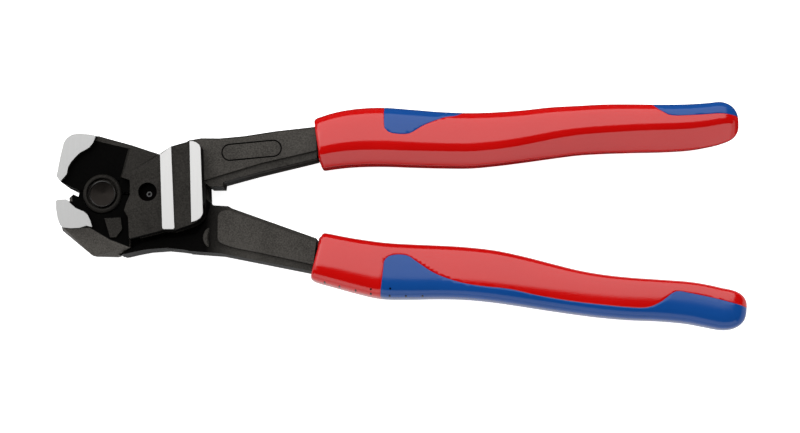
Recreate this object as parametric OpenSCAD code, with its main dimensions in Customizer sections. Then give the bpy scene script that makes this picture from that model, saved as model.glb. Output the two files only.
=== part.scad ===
// End cutting nippers with a linked jaw head, lying flat.
// X runs from the jaws to the grips, Y up the picture, Z out of the flat side.
// The origin is the middle of the ground land that the tool rests on.

/* [Head] */
// Thickness of the head over its ground lands
head_t = 24; // [20:0.5:28]
// Distance from the jaw pivot to the handle pivot
pivot_span = 13.7; // [13.2:0.1:14.6]
// Distance from the jaw pivot to the middle of the front land
land_x = 19.4; // [19:0.1:19.8]
// Thickness of the tongues that run between the cheeks
tongue_t = 5.8; // [4.8:0.1:6.4]
// Running gap between layers that slide on each other
layer_gap = 0.2; // [0.1:0.05:0.3]
// Step from the lands down to the panel round the handle pivot
panel_drop = 1.2; // [0.6:0.1:1.6]
// Step from the lands down to the forged band between them
band_drop = 0.5; // [0.3:0.1:1.1]
// Thickness of the cheek lip that reaches over the jaw arms
lip_t = 2.6; // [1.8:0.1:2.8]

/* [Jaws] */
// Reach of the cutting edges ahead of the jaw pivot
jaw_reach = 13.4; // [12:0.1:15]
// Height of a jaw's back above the jaw pivot
jaw_rise = 17; // [16:0.1:18]
// Width of the cutting edges
edge_w = 18; // [16.5:0.5:19]
// Width over the black faces of the jaws
jaw_face_w = 14; // [13.5:0.5:15]
// Width of the narrow spine along the upper jaw's back
jaw_spine_w = 7.5; // [6.5:0.5:9]
// Width of the edge where the lower jaw's two slopes meet
lower_spine_w = 2.8; // [2:0.2:5]
// Radius of the raised ring round the jaw pivot
ring_r = 5.65; // [5.4:0.05:5.9]
// Height of the ring over the two outer faces
ring_w = 16; // [15:0.25:16]
// Radius of the middle lobe of the lower jaw
lobe_r = 4.9; // [4.4:0.1:5]
// Gap round a lobe in its curved seat
seat_gap = 0.3; // [0.25:0.05:0.5]

/* [Pivots] */
// Radius of the jaw pivot bolt's shank
bolt_r = 2.6; // [2.2:0.1:2.9]
// Radius of the bolt's head and of the nut
bolt_head_r = 4.06; // [3.7:0.02:4.2]
// Groove between the bolt's head and the ring
head_groove = 0.45; // [0.3:0.05:0.6]
// Thickness of the bolt's head and of the nut
bolt_head_t = 1.6; // [1:0.1:1.8]
// Depth of the pockets for the bolt's head and the nut
pocket_depth = 2; // [1.7:0.1:2.2]
// Radius of the handle pivot pin
pivot_pin_r = 2.7; // [2.3:0.05:2.8]
// Depth of the handle pivot pin below the panels
pivot_pin_sink = 2.5; // [1.5:0.1:3]
// Radius of the lug round the handle pivot
lug_r = 4.6; // [4.3:0.05:4.7]
// Distance of a link pin behind the jaw pivot
link_x = 4.78; // [4.6:0.02:4.9]
// Distance of a link pin from the line through the pivots
link_y = 8; // [7.7:0.1:8.4]
// Radius of the link pins
link_pin_r = 2; // [1.6:0.1:2.2]
// Radius of the tongue eyes round the link pins
eye_r = 3.3; // [3:0.05:3.4]
// Steel left over the blind end of a link pin
link_cap = 1; // [0.6:0.1:1.4]
// Radial fit of a pressed or glued seat
press_fit = 0.01; // [0.01:0.005:0.03]
// Radial fit of a running pivot
run_fit = 0.05; // [0.03:0.01:0.08]
// Radial clearance of the jaw pivot in the lower jaw
jaw_pivot_fit = 0.12; // [0.1:0.01:0.2]

/* [Handles] */
// Thickness of the handle arms over their raised webs
arm_t = 12; // [11:0.5:13]
// Step from the raised web down to an arm's rim
web_rise = 1; // [0.5:0.1:1.4]
// Distance from the jaw pivot to the upper grip's front
upper_grip_x = 62.1; // [61.1:0.1:63.1]
// Height of the upper grip's axis at its front
upper_grip_y = 14.7; // [14.3:0.1:15.1]
// Slope of the upper grip
upper_grip_a = 3; // [2.6:0.1:3.6]
// Distance from the jaw pivot to the lower grip's front
lower_grip_x = 61.6; // [60.6:0.1:62.6]
// Depth of the lower grip's axis at its front
lower_grip_y = 18.7; // [18.3:0.1:19.1]
// Slope of the lower grip
lower_grip_a = 6.6; // [6.2:0.1:7]
// Radius round the handle pivot where the lower arm clears the cheeks
crescent_r = 17.8; // [17.7:0.1:18.1]
// Width of the tang inside a grip
tang_w = 6.5; // [5:0.1:7]
// Thickness of the tang inside a grip
tang_t = 6; // [5:0.1:7]
// Length of the tang inside a grip
tang_len = 96; // [80:1:104]
// Length of the tang's root inside its arm
tang_root = 4; // [3:0.5:6]

/* [Grips] */
// Length of the upper grip
upper_grip_len = 122.4; // [118:0.2:127]
// Length of the lower grip
lower_grip_len = 125.2; // [120:0.2:130]
// Half width of a grip in the plane of the tool
grip_half_w = 8.4; // [8:0.1:8.8]
// Half depth of a grip across the plane of the tool
grip_half_d = 7.8; // [7.2:0.1:8.6]
// Roundness of the grip's section, where 2 is an ellipse
grip_power = 2.5; // [2:0.1:4]
// Clearance of the tang in the grip's socket
tang_gap = 0.05; // [0.02:0.01:0.1]
// Wall of the shell's core between the tang and an inlay
core_wall = 1.2; // [0.8:0.1:1.8]

/* [Hidden] */
$fn = 64;
// Overrun of every cut past the face it opens
over = 1;
// Faces round a grip's section
grip_sides = 28;

mid_z = head_t / 2;
tongue_half = tongue_t / 2;
slot_half = tongue_half + layer_gap;
face_half = jaw_face_w / 2;
spine_half = jaw_spine_w / 2;
lower_spine_half = lower_spine_w / 2;
edge_half = edge_w / 2;
ring_half = ring_w / 2;
panel_half = mid_z - panel_drop;
band_half = mid_z - band_drop;
lip_half = panel_half - lip_t;
arm_half = arm_t / 2;
rim_half = arm_half - web_rise;
// Where the cheeks turn from the thin lip to their full thickness
cheek_root_share = 0.57;
cheek_root_x = cheek_root_share * land_x;
// Dish in the bolt's head: radius, depth and how far its cone runs past the face
dish_share = 0.88;
dish_depth_share = 0.25;
dish_run_share = 1.02;
// Grip of the bolt's shank in the nut, and the radius of the nut's key holes
nut_grip_share = 0.8;
key_hole_share = 0.2;
// Centre mark in each end of the handle pivot pin
mark_share = 0.25;

// Outline shares of a jaw, on its reach and its rise
upper_spine_shares = [[-0.97, 0.29], [-0.9, 0.64], [-0.84, 0.85], [-0.74, 0.955],
    [-0.65, 1], [-0.48, 1.02], [-0.3, 1.025], [-0.14, 1.025], [0.6, 0.86],
    [1.22, 0.695], [1.21, 0.665], [0.4, 0.24], [-0.52, 0.056], [-0.895, 0.2]];
upper_face_shares = [[-0.97, 0.29], [-0.9, 0.63], [-0.84, 0.82], [-0.7, 0.9],
    [-0.14, 0.91], [0.6, 0.745], [1.2, 0.652], [0.4, 0.24], [-0.52, 0.056],
    [-0.895, 0.2]];
upper_ground_shares = [[-0.984, 0.29], [-0.904, 0.646], [-0.84, 0.863],
    [-0.8, 0.925], [-0.742, 0.968], [-0.655, 1.01], [-0.57, 1.022],
    [-0.479, 1.025], [-0.254, 1.008], [-0.14, 0.988], [-0.153, 0.949],
    [-0.201, 0.859], [-0.274, 0.786], [-0.36, 0.746], [-0.473, 0.699],
    [-0.572, 0.625], [-0.67, 0.535], [-0.732, 0.449], [-0.76, 0.329],
    [-0.895, 0.202]];
lower_front_spine_shares = [[-0.95, -0.14], [-0.96, -0.38], [-0.93, -0.595],
    [-0.285, -1.015], [-0.2, -1.03], [-0.2, -0.14], [-0.49, -0.124]];
lower_front_face_shares = [[-0.95, -0.13], [-0.96, -0.27], [-0.93, -0.43],
    [-0.885, -0.535], [-0.84, -0.58], [-0.21, -0.57], [-0.21, -0.14],
    [-0.49, -0.124]];
lower_rear_spine_shares = [[-0.3, -0.14], [-0.3, -1.005], [-0.2, -1.03],
    [0.27, -1.04], [0.365, -1.01], [0.6, -0.9], [0.6, -0.42], [0.4, -0.24]];
lower_rear_face_shares = [[-0.3, -0.14], [-0.3, -0.56], [0.17, -0.78],
    [0.6, -0.915], [0.6, -0.42], [0.4, -0.24]];
lower_ground_shares = [[-0.99, -0.13], [-0.955, -0.112], [-0.766, -0.105],
    [-0.73, -0.128], [-0.665, -0.18], [-0.553, -0.258], [-0.371, -0.319],
    [-0.294, -0.374], [-0.229, -0.477], [-0.193, -0.581], [-0.319, -0.558],
    [-0.464, -0.595], [-0.657, -0.601], [-0.838, -0.584], [-0.893, -0.539],
    [-0.946, -0.431], [-0.984, -0.266]];
// Room for the link between the two ears of a jaw
link_room_shares = [[0.096, -0.2], [0.096, 0.635], [0.18, 0.74], [0.336, 1.035],
    [0.336, 1.5], [2.6, 1.5], [2.6, -0.2]];
// Plate that closes each ear between the ring and the cheeks
ear_shares = [[0.3, 0.024], [0.585, 0.024], [0.59, 0.18], [0.6, 0.42], [0.4, 0.3]];
// Raised facet behind the upper jaw's black face, and its wider foot
facet_shares = [[0.44, 0.288], [1.18, 0.647], [0.612, 0.765]];
facet_foot_shares = [[0.38, 0.262], [1.19, 0.652], [0.55, 0.79]];
// Nose on the lower jaw's middle layer, and its room in the upper jaw
nose_shares = [[-0.3, 0.047], [-0.56, 0.047], [-0.575, -0.018],
    [-0.687, 0.024], [-0.776, -0.035], [-0.76, -0.16], [-0.3, -0.18]];
nose_room_shares = [[0, -0.12], [0, 0.26], [-0.642, 0.265],
    [-0.769, 0.236], [-0.82, 0.153], [-0.82, -0.12]];
// Outline shares of the raised block on the lower jaw
block_shares = [[0.062, -0.428], [0.411, -0.416], [0.447, -0.614],
    [0.319, -0.749], [0.189, -0.754]];

// Outline shares of the cheeks, on the land's distance and the jaw's rise
panel_shares = [[0.307, 0.256], [0.438, 0.204], [0.441, -0.052],
    [0.39, -0.184], [0.357, -0.314], [0.419, -0.435], [0.438, -0.786],
    [0.468, -0.786], [0.9, -0.665], [0.938, -0.65], [1.12, -0.655],
    [1.371, -0.56], [1.45, -0.515], [1.53, -0.42], [1.545, -0.385],
    [1.503, 0.755], [1.455, 0.83], [1.39, 0.865], [1.335, 0.86],
    [1.057, 0.772], [0.887, 0.646]];
front_land_shares = [[0.896, 0.628], [1.059, 0.763], [1.121, -0.629],
    [1.1, -0.646], [0.96, -0.645], [0.941, -0.628]];
rear_land_shares = [[1.335, 0.852], [1.379, 0.856], [1.44, 0.827], [1.48, 0.79],
    [1.498, 0.74], [1.543, -0.373], [1.528, -0.42], [1.5, -0.465],
    [1.44, -0.505], [1.373, -0.528]];

// Places along the arms, as shares of the grip's distance and the jaw's rise
upper_tongue_shares = [[0.07, 0.66], [0.1, 0.72], [0.28, 0.64], [0.34, 0.72],
    [0.46, 0.86], [0.46, 0.3], [0.3, 0.295], [0.24, 0.31], [0.17, 0.365],
    [0.1, 0.37]];
upper_core_shares = [[0.165, 0.37], [0.24, 0.31], [0.3, 0.3], [0.495, 0.27],
    [0.495, 0.94], [0.4, 0.83], [0.32, 0.72], [0.265, 0.6]];
upper_rim_shares = [[0.29, 0.66], [0.4, 0.93], [0.458, 0.965],
    [0.545, 0.96], [0.658, 0.995], [0.805, 1.075], [1, 1.15], [1, 0.604],
    [0.85, 0.475], [0.723, 0.365], [0.562, 0.207], [0.56, 0.13],
    [0.5, 0.13], [0.478, 0.19], [0.45, 0.25], [0.29, 0.33]];
upper_web_shares = [[0.4, 0.89], [0.458, 0.93], [0.545, 0.925], [0.658, 0.96],
    [0.805, 1.04], [1, 1.11], [1, 0.735], [0.909, 0.656], [0.7425, 0.521],
    [0.5755, 0.341], [0.479, 0.235], [0.4, 0.3]];
oval_share = [0.696, 0.74];
oval_len_share = 0.285;
oval_w_share = 0.3;
oval_groove_share = 0.08;
oval_depth_share = 0.33;
oval_lean = 2;
lower_tongue_shares = [[0.082, -1.03], [0.155, -0.98], [0.206, -0.945],
    [0.296, -0.925], [0.359, -0.945], [0.449, -0.985], [0.52, -1],
    [0.52, -0.2], [0.47, -0.035], [0.29, 0.19], [0.22, 0.26], [0.155, 0.1],
    [0.145, -0.33], [0.07, -0.43], [0.04, -0.62], [0.055, -0.72],
    [0.075, -0.9]];
lower_rim_shares = [[0.4, 0], [0.5, -0.16], [0.519, -0.196], [0.586, -0.21],
    [0.605, -0.25], [1, -0.77], [1, -1.35], [0.726, -1.15], [0.556, -1.02],
    [0.434, -0.985], [0.4, -0.975]];
// Front of the lower lever, which runs in under the cheeks to the jaw
lower_front_shares = [[0.0886, -1.029], [0.1377, -0.918], [0.197, -0.822],
    [0.287, -0.743], [0.322, -0.75], [0.356, -0.741], [0.406, -0.709],
    [0.46, -0.676], [0.46, -0.995], [0.359, -0.945], [0.298, -0.922],
    [0.2077, -0.944], [0.1556, -0.98], [0.105, -1.022]];
lower_web_shares = [[0.555, -0.31], [0.545, -0.34], [0.54, -0.4],
    [0.54, -0.76], [0.545, -0.82], [0.565, -0.865], [0.617, -0.93],
    [0.743, -1.02], [1, -1.235], [1, -0.845], [0.595, -0.29], [0.575, -0.285]];

// Rows of a grip: along, centre, half width and half depth, all as shares
upper_grip_shares = [[0, 0.02, 0.87, 0.93], [0.02, 0.066, 0.906, 0.97],
    [0.05, 0.14, 0.95, 1], [0.1, 0.185, 0.985, 1], [0.16, 0.155, 1, 1],
    [0.23, 0.04, 0.983, 0.98], [0.29, -0.06, 0.958, 0.97],
    [0.36, -0.143, 0.938, 0.96], [0.42, -0.146, 0.908, 0.95],
    [0.49, -0.11, 0.88, 0.94], [0.555, -0.053, 0.869, 0.94],
    [0.62, -0.026, 0.837, 0.94], [0.685, -0.034, 0.836, 0.94],
    [0.75, -0.077, 0.826, 0.94], [0.815, -0.13, 0.81, 0.93],
    [0.88, -0.15, 0.785, 0.91], [0.93, -0.106, 0.746, 0.87],
    [0.963, -0.05, 0.687, 0.78], [0.987, -0.046, 0.51, 0.58],
    [1, -0.09, 0.2, 0.28]];
lower_grip_shares = [[0, 0.08, 0.82, 0.93], [0.02, 0.049, 0.857, 0.97],
    [0.05, -0.012, 0.875, 1], [0.1, -0.095, 0.917, 1], [0.16, -0.15, 0.954, 1],
    [0.225, -0.083, 0.936, 0.98], [0.29, 0.012, 0.907, 0.97],
    [0.35, 0.072, 0.888, 0.96], [0.415, 0.077, 0.874, 0.95],
    [0.48, 0.012, 0.84, 0.94], [0.545, -0.08, 0.791, 0.94],
    [0.61, -0.162, 0.741, 0.94], [0.67, -0.194, 0.721, 0.94],
    [0.735, -0.178, 0.711, 0.94], [0.8, -0.123, 0.697, 0.93],
    [0.865, -0.086, 0.693, 0.91], [0.91, -0.122, 0.692, 0.88],
    [0.945, -0.168, 0.672, 0.82], [0.98, -0.17, 0.54, 0.64],
    [1, -0.1, 0.27, 0.3]];
// Outlines of the inlays, along the grip and across it, as shares
upper_front_inlay_shares = [[0.16, 1.5], [0.163, 0.4], [0.169, 0.24],
    [0.181, 0.14], [0.221, 0.1], [0.257, 0.37], [0.308, 0.63],
    [0.341, 0.72], [0.375, 1.5]];
upper_rear_inlay_shares = [[0.79, 1.5], [0.799, 0.67], [0.825, 0.34],
    [0.839, 0.19], [0.91, 0.17], [0.955, 0.18], [0.978, 0.14], [1.02, 0.05],
    [1.02, 1.5]];
lower_inlay_shares = [[0.161, -1.5], [0.162, -0.3], [0.162, 0.15],
    [0.178, 0.35], [0.212, 0.4], [0.239, 0.2], [0.274, -0.07], [0.309, -0.23],
    [0.352, -0.34], [0.402, -0.37], [0.451, -0.36], [0.519, -0.47],
    [0.592, -0.54], [0.665, -0.55], [0.738, -0.53], [0.774, -0.46],
    [0.799, -0.25], [0.813, -0.06], [0.827, 0.14], [0.839, 0.21],
    [0.865, 0.18], [0.911, 0.12], [0.958, 0.03], [1.02, -0.12], [1.02, -1.5]];

// Points of an outline from its shares and the two sizes they follow
function outline(shares, w, h) = [for (p = shares) [p[0] * w, p[1] * h]];

// One point round a grip's section, a rounded box of the given halves
function ring_point(turn, half_w, half_d) =
    let (c = cos(turn), s = sin(turn), q = 2 / grip_power)
    [sign(c) * pow(abs(c), q) * half_w, sign(s) * pow(abs(s), q) * half_d];

function grip_points(rows, len) = [
    for (r = rows)
        for (i = [0 : grip_sides - 1])
            let (p = ring_point(360 * i / grip_sides, r[2] * grip_half_w, r[3] * grip_half_d))
            [r[0] * len, r[1] * grip_half_w + p[0], p[1]]];

function grip_faces(rows) = concat(
    [for (k = [0 : len(rows) - 2])
        for (i = [0 : grip_sides - 1])
            let (a = k * grip_sides + i, b = k * grip_sides + (i + 1) % grip_sides)
            [a, a + grip_sides, b]],
    [for (k = [0 : len(rows) - 2])
        for (i = [0 : grip_sides - 1])
            let (a = k * grip_sides + i, b = k * grip_sides + (i + 1) % grip_sides)
            [b, a + grip_sides, b + grip_sides]],
    [for (i = [1 : grip_sides - 2]) [0, i, i + 1]],
    [for (i = [1 : grip_sides - 2])
        let (e = (len(rows) - 1) * grip_sides)
        [e, e + i + 1, e + i]]);

// Moves a shape drawn round the jaw pivot to the part's own origin
module from_pivot() translate([-land_x, 0, mid_z]) children();

// A plate of the given outline, from one height to another
module layer(low, high) translate([0, 0, low]) linear_extrude(high - low) children();

// The same plate on both sides of the middle plane
module both(low, high) {
    layer(low, high) children();
    layer(-high, -low) children();
}

module at_handle_pivot() translate([pivot_span, 0, 0]) children();

module at_link(side) translate([link_x, side * link_y, 0]) children();

module at_upper_grip() translate([upper_grip_x, upper_grip_y, 0]) rotate(upper_grip_a) children();

module at_lower_grip() translate([lower_grip_x, -lower_grip_y, 0]) rotate(-lower_grip_a) children();

// A round bar or bore across the head, between two heights
module bar(r, low, high) translate([0, 0, low]) cylinder(r = r, h = high - low);

module jaw_outline(shares) polygon(outline(shares, jaw_reach, jaw_rise));

// A forged block that slopes from one outline to another on both sides
module sloped_block(inner, inner_half, outer, outer_half) {
    hull() {
        layer(-inner_half, inner_half) jaw_outline(inner);
        layer(-outer_half, outer_half) jaw_outline(outer);
    }
}

// Room for the handle tongue behind a jaw, and the blind bore of its pin
module link_room(side) {
    layer(-slot_half, slot_half) scale([1, side]) jaw_outline(link_room_shares);
    at_link(side) bar(link_pin_r + run_fit, -ring_half - over, face_half - link_cap);
}

module ear(side) both(slot_half, face_half) scale([1, side]) jaw_outline(ear_shares);

module upper_jaw() {
    color([0.2, 0.19, 0.18])
        from_pivot() difference() {
            union() {
                sloped_block(upper_spine_shares, spine_half, upper_face_shares, face_half);
                sloped_block(facet_foot_shares, face_half, facet_shares, ring_half);
                layer(-edge_half, edge_half) jaw_outline(upper_ground_shares);
                both(slot_half, ring_half) circle(r = ring_r);
                ear(1);
            }
            layer(-slot_half, slot_half) circle(r = lobe_r + seat_gap);
            layer(-slot_half, slot_half) jaw_outline(nose_room_shares);
            link_room(1);
            bar(bolt_r + press_fit, -mid_z, mid_z);
            bar(bolt_head_r + head_groove, ring_half - pocket_depth, mid_z);
            bar(bolt_head_r + head_groove, -mid_z, pocket_depth - ring_half);
        }
}

module lower_jaw() {
    color([0.2, 0.19, 0.18])
        from_pivot() difference() {
            union() {
                difference() {
                    union() {
                        sloped_block(lower_front_spine_shares, lower_spine_half,
                            lower_front_face_shares, face_half);
                        sloped_block(lower_rear_spine_shares, lower_spine_half,
                            lower_rear_face_shares, face_half);
                        layer(-edge_half, edge_half) jaw_outline(lower_ground_shares);
                        both(spine_half, ring_half) jaw_outline(block_shares);
                        ear(-1);
                    }
                    both(slot_half - over, mid_z) circle(r = ring_r + seat_gap);
                    link_room(-1);
                }
                layer(-tongue_half, tongue_half) circle(r = lobe_r);
                layer(-tongue_half, tongue_half) jaw_outline(nose_shares);
            }
            bar(bolt_r + jaw_pivot_fit, -mid_z, mid_z);
        }
}

module jaw_pivot_bolt() {
    seat_z = ring_half - pocket_depth;
    dish_t = bolt_head_t * dish_depth_share;
    dish_r = bolt_head_r * dish_share;
    color([0.3, 0.29, 0.27])
        from_pivot() {
            difference() {
                bar(bolt_head_r, seat_z, seat_z + bolt_head_t);
                translate([0, 0, seat_z + bolt_head_t - dish_t])
                    cylinder(r1 = 0, r2 = dish_r * dish_run_share, h = dish_t * dish_run_share);
            }
            bar(bolt_r, -seat_z - bolt_head_t * nut_grip_share, seat_z);
        }
}

module jaw_pivot_nut() {
    color([0.3, 0.29, 0.27])
        from_pivot() difference() {
            bar(bolt_head_r, pocket_depth - ring_half - bolt_head_t, pocket_depth - ring_half);
            bar(bolt_r + press_fit, -mid_z, 0);
            for (side = [-1, 1])
                translate([side * (bolt_head_r + bolt_r) / 2, 0, 0])
                    bar((bolt_head_r - bolt_r) * key_hole_share, -mid_z,
                        pocket_depth - ring_half - bolt_head_t / 2);
        }
}

// The outline of a cheek behind a line across the head
module cheek_from(x) {
    intersection() {
        polygon(outline(panel_shares, land_x, jaw_rise));
        translate([x, -2 * jaw_rise]) square([2 * land_x, 4 * jaw_rise]);
    }
}

// The two cheeks, with a thin lip over the jaw arms and ground lands
module cheeks() {
    both(lip_half, panel_half) polygon(outline(panel_shares, land_x, jaw_rise));
    both(slot_half, panel_half) cheek_from(cheek_root_x);
    both(slot_half, band_half) cheek_from(front_land_shares[0][0] * land_x);
    both(slot_half, mid_z) polygon(outline(front_land_shares, land_x, jaw_rise));
    both(slot_half, mid_z) polygon(outline(rear_land_shares, land_x, jaw_rise));
}

module oval(len, wid) {
    hull()
        for (side = [-1, 1])
            translate([side * (len - wid) / 2, 0]) circle(d = wid);
}

// The engraved oval outline on both sides of the upper arm
module oval_groove() {
    oval_len = oval_len_share * upper_grip_x;
    oval_w = oval_w_share * jaw_rise;
    groove_w = oval_groove_share * oval_w;
    both(arm_half - oval_depth_share * web_rise, arm_half + over)
        translate([oval_share[0] * upper_grip_x, oval_share[1] * jaw_rise])
            rotate(upper_grip_a + oval_lean)
                difference() {
                    oval(oval_len, oval_w);
                    oval(oval_len - 2 * groove_w, oval_w - 2 * groove_w);
                }
}

// A tang that starts inside the end of its arm
module tang() {
    translate([-tang_root, -tang_w / 2, -tang_t / 2]) cube([tang_len + tang_root, tang_w, tang_t]);
}

// Everything ahead of a grip's front plane
module ahead_of_grip() {
    translate([-upper_grip_x, -upper_grip_x / 2, -mid_z])
        cube([upper_grip_x, upper_grip_x, head_t]);
}

module upper_handle() {
    color([0.25, 0.24, 0.22])
        from_pivot() {
            difference() {
                union() {
                    cheeks();
                    at_link(1) layer(-tongue_half, tongue_half) circle(r = eye_r);
                    layer(-tongue_half, tongue_half)
                        polygon(outline(upper_tongue_shares, upper_grip_x, jaw_rise));
                    layer(-lip_half, lip_half)
                        intersection() {
                            polygon(outline(upper_core_shares, upper_grip_x, jaw_rise));
                            cheek_from(cheek_root_x);
                        }
                    intersection() {
                        union() {
                            layer(-rim_half, rim_half)
                                polygon(outline(upper_rim_shares, upper_grip_x, jaw_rise));
                            layer(-arm_half, arm_half)
                                polygon(outline(upper_web_shares, upper_grip_x, jaw_rise));
                        }
                        at_upper_grip() ahead_of_grip();
                    }
                    at_upper_grip() tang();
                }
                at_handle_pivot() bar(pivot_pin_r + press_fit, -mid_z, mid_z);
                at_link(1) bar(link_pin_r + press_fit, -mid_z, mid_z);
                oval_groove();
            }
        }
}

module lower_handle() {
    color([0.25, 0.24, 0.22])
        from_pivot() {
            difference() {
                union() {
                    at_handle_pivot() layer(-tongue_half, tongue_half) circle(r = lug_r);
                    at_link(-1) layer(-tongue_half, tongue_half) circle(r = eye_r);
                    layer(-tongue_half, tongue_half)
                        polygon(outline(lower_tongue_shares, upper_grip_x, jaw_rise));
                    layer(-rim_half, rim_half)
                        polygon(outline(lower_front_shares, upper_grip_x, jaw_rise));
                    intersection() {
                        difference() {
                            union() {
                                layer(-rim_half, rim_half)
                                    polygon(outline(lower_rim_shares, upper_grip_x, jaw_rise));
                                layer(-arm_half, arm_half)
                                    polygon(outline(lower_web_shares, upper_grip_x, jaw_rise));
                            }
                            both(tongue_half, mid_z) at_handle_pivot() circle(r = crescent_r);
                        }
                        at_lower_grip() ahead_of_grip();
                    }
                    at_lower_grip() tang();
                }
                at_handle_pivot() bar(pivot_pin_r + run_fit, -mid_z, mid_z);
                at_link(-1) bar(link_pin_r + press_fit, -mid_z, mid_z);
            }
        }
}

module handle_pivot_pin() {
    pin_half = panel_half - pivot_pin_sink;
    color([0.15, 0.15, 0.15])
        from_pivot() at_handle_pivot() difference() {
            bar(pivot_pin_r, -pin_half, pin_half);
            for (side = [-1, 1])
                translate([0, 0, side * pin_half])
                    cylinder(r = pivot_pin_r * mark_share, h = pivot_pin_r * mark_share, center = true);
        }
}

module link_pin(side) {
    color([0.5, 0.5, 0.5])
        from_pivot() at_link(side) bar(link_pin_r, -face_half, face_half - link_cap);
}

module upper_link_pin() link_pin(1);

module lower_link_pin() link_pin(-1);

// A grip's full body with the socket for its tang
module grip_body(rows, len) {
    difference() {
        polyhedron(grip_points(rows, len), grip_faces(rows));
        translate([-over, -tang_w / 2 - tang_gap, -tang_t / 2 - tang_gap])
            cube([tang_len + tang_gap + over, tang_w + 2 * tang_gap, tang_t + 2 * tang_gap]);
    }
}

// The shell's core, which an inlay is moulded round
module grip_core() {
    core_half_w = tang_w / 2 + tang_gap + core_wall;
    core_half_t = tang_t / 2 + tang_gap + core_wall;
    translate([-over, -core_half_w, -core_half_t])
        cube([tang_len + tang_gap + core_wall + over, 2 * core_half_w, 2 * core_half_t]);
}

module inlay_zone(shares, len) {
    difference() {
        layer(-grip_half_d - over, grip_half_d + over) polygon(outline(shares, len, grip_half_w));
        grip_core();
    }
}

module upper_inlay_zones() {
    inlay_zone(upper_front_inlay_shares, upper_grip_len);
    inlay_zone(upper_rear_inlay_shares, upper_grip_len);
}

module upper_grip_shell() {
    color([0.8, 0.08, 0.06])
        from_pivot() at_upper_grip() difference() {
            grip_body(upper_grip_shares, upper_grip_len);
            upper_inlay_zones();
        }
}

module upper_grip_inlays() {
    color([0.1, 0.22, 0.5])
        from_pivot() at_upper_grip() intersection() {
            grip_body(upper_grip_shares, upper_grip_len);
            upper_inlay_zones();
        }
}

module lower_grip_shell() {
    color([0.8, 0.08, 0.06])
        from_pivot() at_lower_grip() difference() {
            grip_body(lower_grip_shares, lower_grip_len);
            inlay_zone(lower_inlay_shares, lower_grip_len);
        }
}

module lower_grip_inlay() {
    color([0.1, 0.22, 0.5])
        from_pivot() at_lower_grip() intersection() {
            grip_body(lower_grip_shares, lower_grip_len);
            inlay_zone(lower_inlay_shares, lower_grip_len);
        }
}

upper_jaw();
lower_jaw();
jaw_pivot_bolt();
jaw_pivot_nut();
upper_handle();
lower_handle();
handle_pivot_pin();
upper_link_pin();
lower_link_pin();
upper_grip_shell();
upper_grip_inlays();
lower_grip_shell();
lower_grip_inlay();
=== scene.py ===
# %% [markdown]
# # End cutting nippers, dressed
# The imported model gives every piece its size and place. This lesson adds what the eye sees: softened
# forging edges, two ground lands, a turned bolt, and grips moulded in two colours. Nothing here moves a CAD
# part. What is drawn anew takes the place of its CAD piece and rides on the same body.

# %% Load the frame
import math
import bmesh
import bpy
from mathutils import Matrix, Vector


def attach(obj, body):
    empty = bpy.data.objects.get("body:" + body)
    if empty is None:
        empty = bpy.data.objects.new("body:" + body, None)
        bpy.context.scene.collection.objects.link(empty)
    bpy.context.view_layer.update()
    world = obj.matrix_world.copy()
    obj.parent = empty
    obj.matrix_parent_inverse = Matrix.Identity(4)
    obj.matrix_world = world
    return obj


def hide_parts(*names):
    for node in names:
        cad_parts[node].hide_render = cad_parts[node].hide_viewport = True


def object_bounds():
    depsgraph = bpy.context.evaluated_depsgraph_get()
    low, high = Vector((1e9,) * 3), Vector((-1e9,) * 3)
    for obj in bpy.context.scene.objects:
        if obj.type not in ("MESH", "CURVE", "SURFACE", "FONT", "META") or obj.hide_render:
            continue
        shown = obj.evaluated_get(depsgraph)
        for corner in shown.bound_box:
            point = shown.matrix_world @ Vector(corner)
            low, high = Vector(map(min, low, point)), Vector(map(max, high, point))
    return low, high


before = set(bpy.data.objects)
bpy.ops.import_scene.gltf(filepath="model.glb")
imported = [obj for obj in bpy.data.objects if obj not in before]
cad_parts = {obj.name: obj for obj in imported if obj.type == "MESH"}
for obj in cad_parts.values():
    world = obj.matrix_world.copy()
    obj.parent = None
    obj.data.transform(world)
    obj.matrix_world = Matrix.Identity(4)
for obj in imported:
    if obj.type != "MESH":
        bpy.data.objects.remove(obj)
cad_low, cad_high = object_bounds()
MM = 0.001
scene = bpy.context.scene

# %% [markdown]
# ## Driving places
# The part's origin is the middle of the front land on the underside. The jaw pivot lies ahead of it, and the
# middle plane of the head is half of the head's thickness up. These few values place everything else.

# %% Driving places
HEAD_T = cad_high.z - cad_low.z
MID_Z = HEAD_T / 2
LAND_X = 19.4 * MM
PIVOT_SPAN = 13.7 * MM
JAW_PIVOT = Vector((-LAND_X, 0, MID_Z))
HANDLE_PIVOT = JAW_PIVOT + Vector((PIVOT_SPAN, 0, 0))
print("head thickness in mm:", round(HEAD_T / MM, 2))

# %% [markdown]
# ## The camera
# The photo looks down on the flat side from about three quarters of a metre. It leans in slightly from the
# lower handle's side, so that the near walls of the head just show. The lens could be tuned by eye, but then
# every change of distance would change the size too. Here it follows from the distance and from how many
# millimetres one pixel of the photo covers.

# %% The camera
PHOTO_W = 800
PIXEL = 0.29 * MM
SENSOR_W = 36
CAMERA_DISTANCE = 0.75
NEAREST, FARTHEST = 0.05, 20
LOOK_BACK = Vector((0.05, -0.12, 1)).normalized()
SIGHT_POINT = Vector((66.75, -6.55, 14)) * MM


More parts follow.
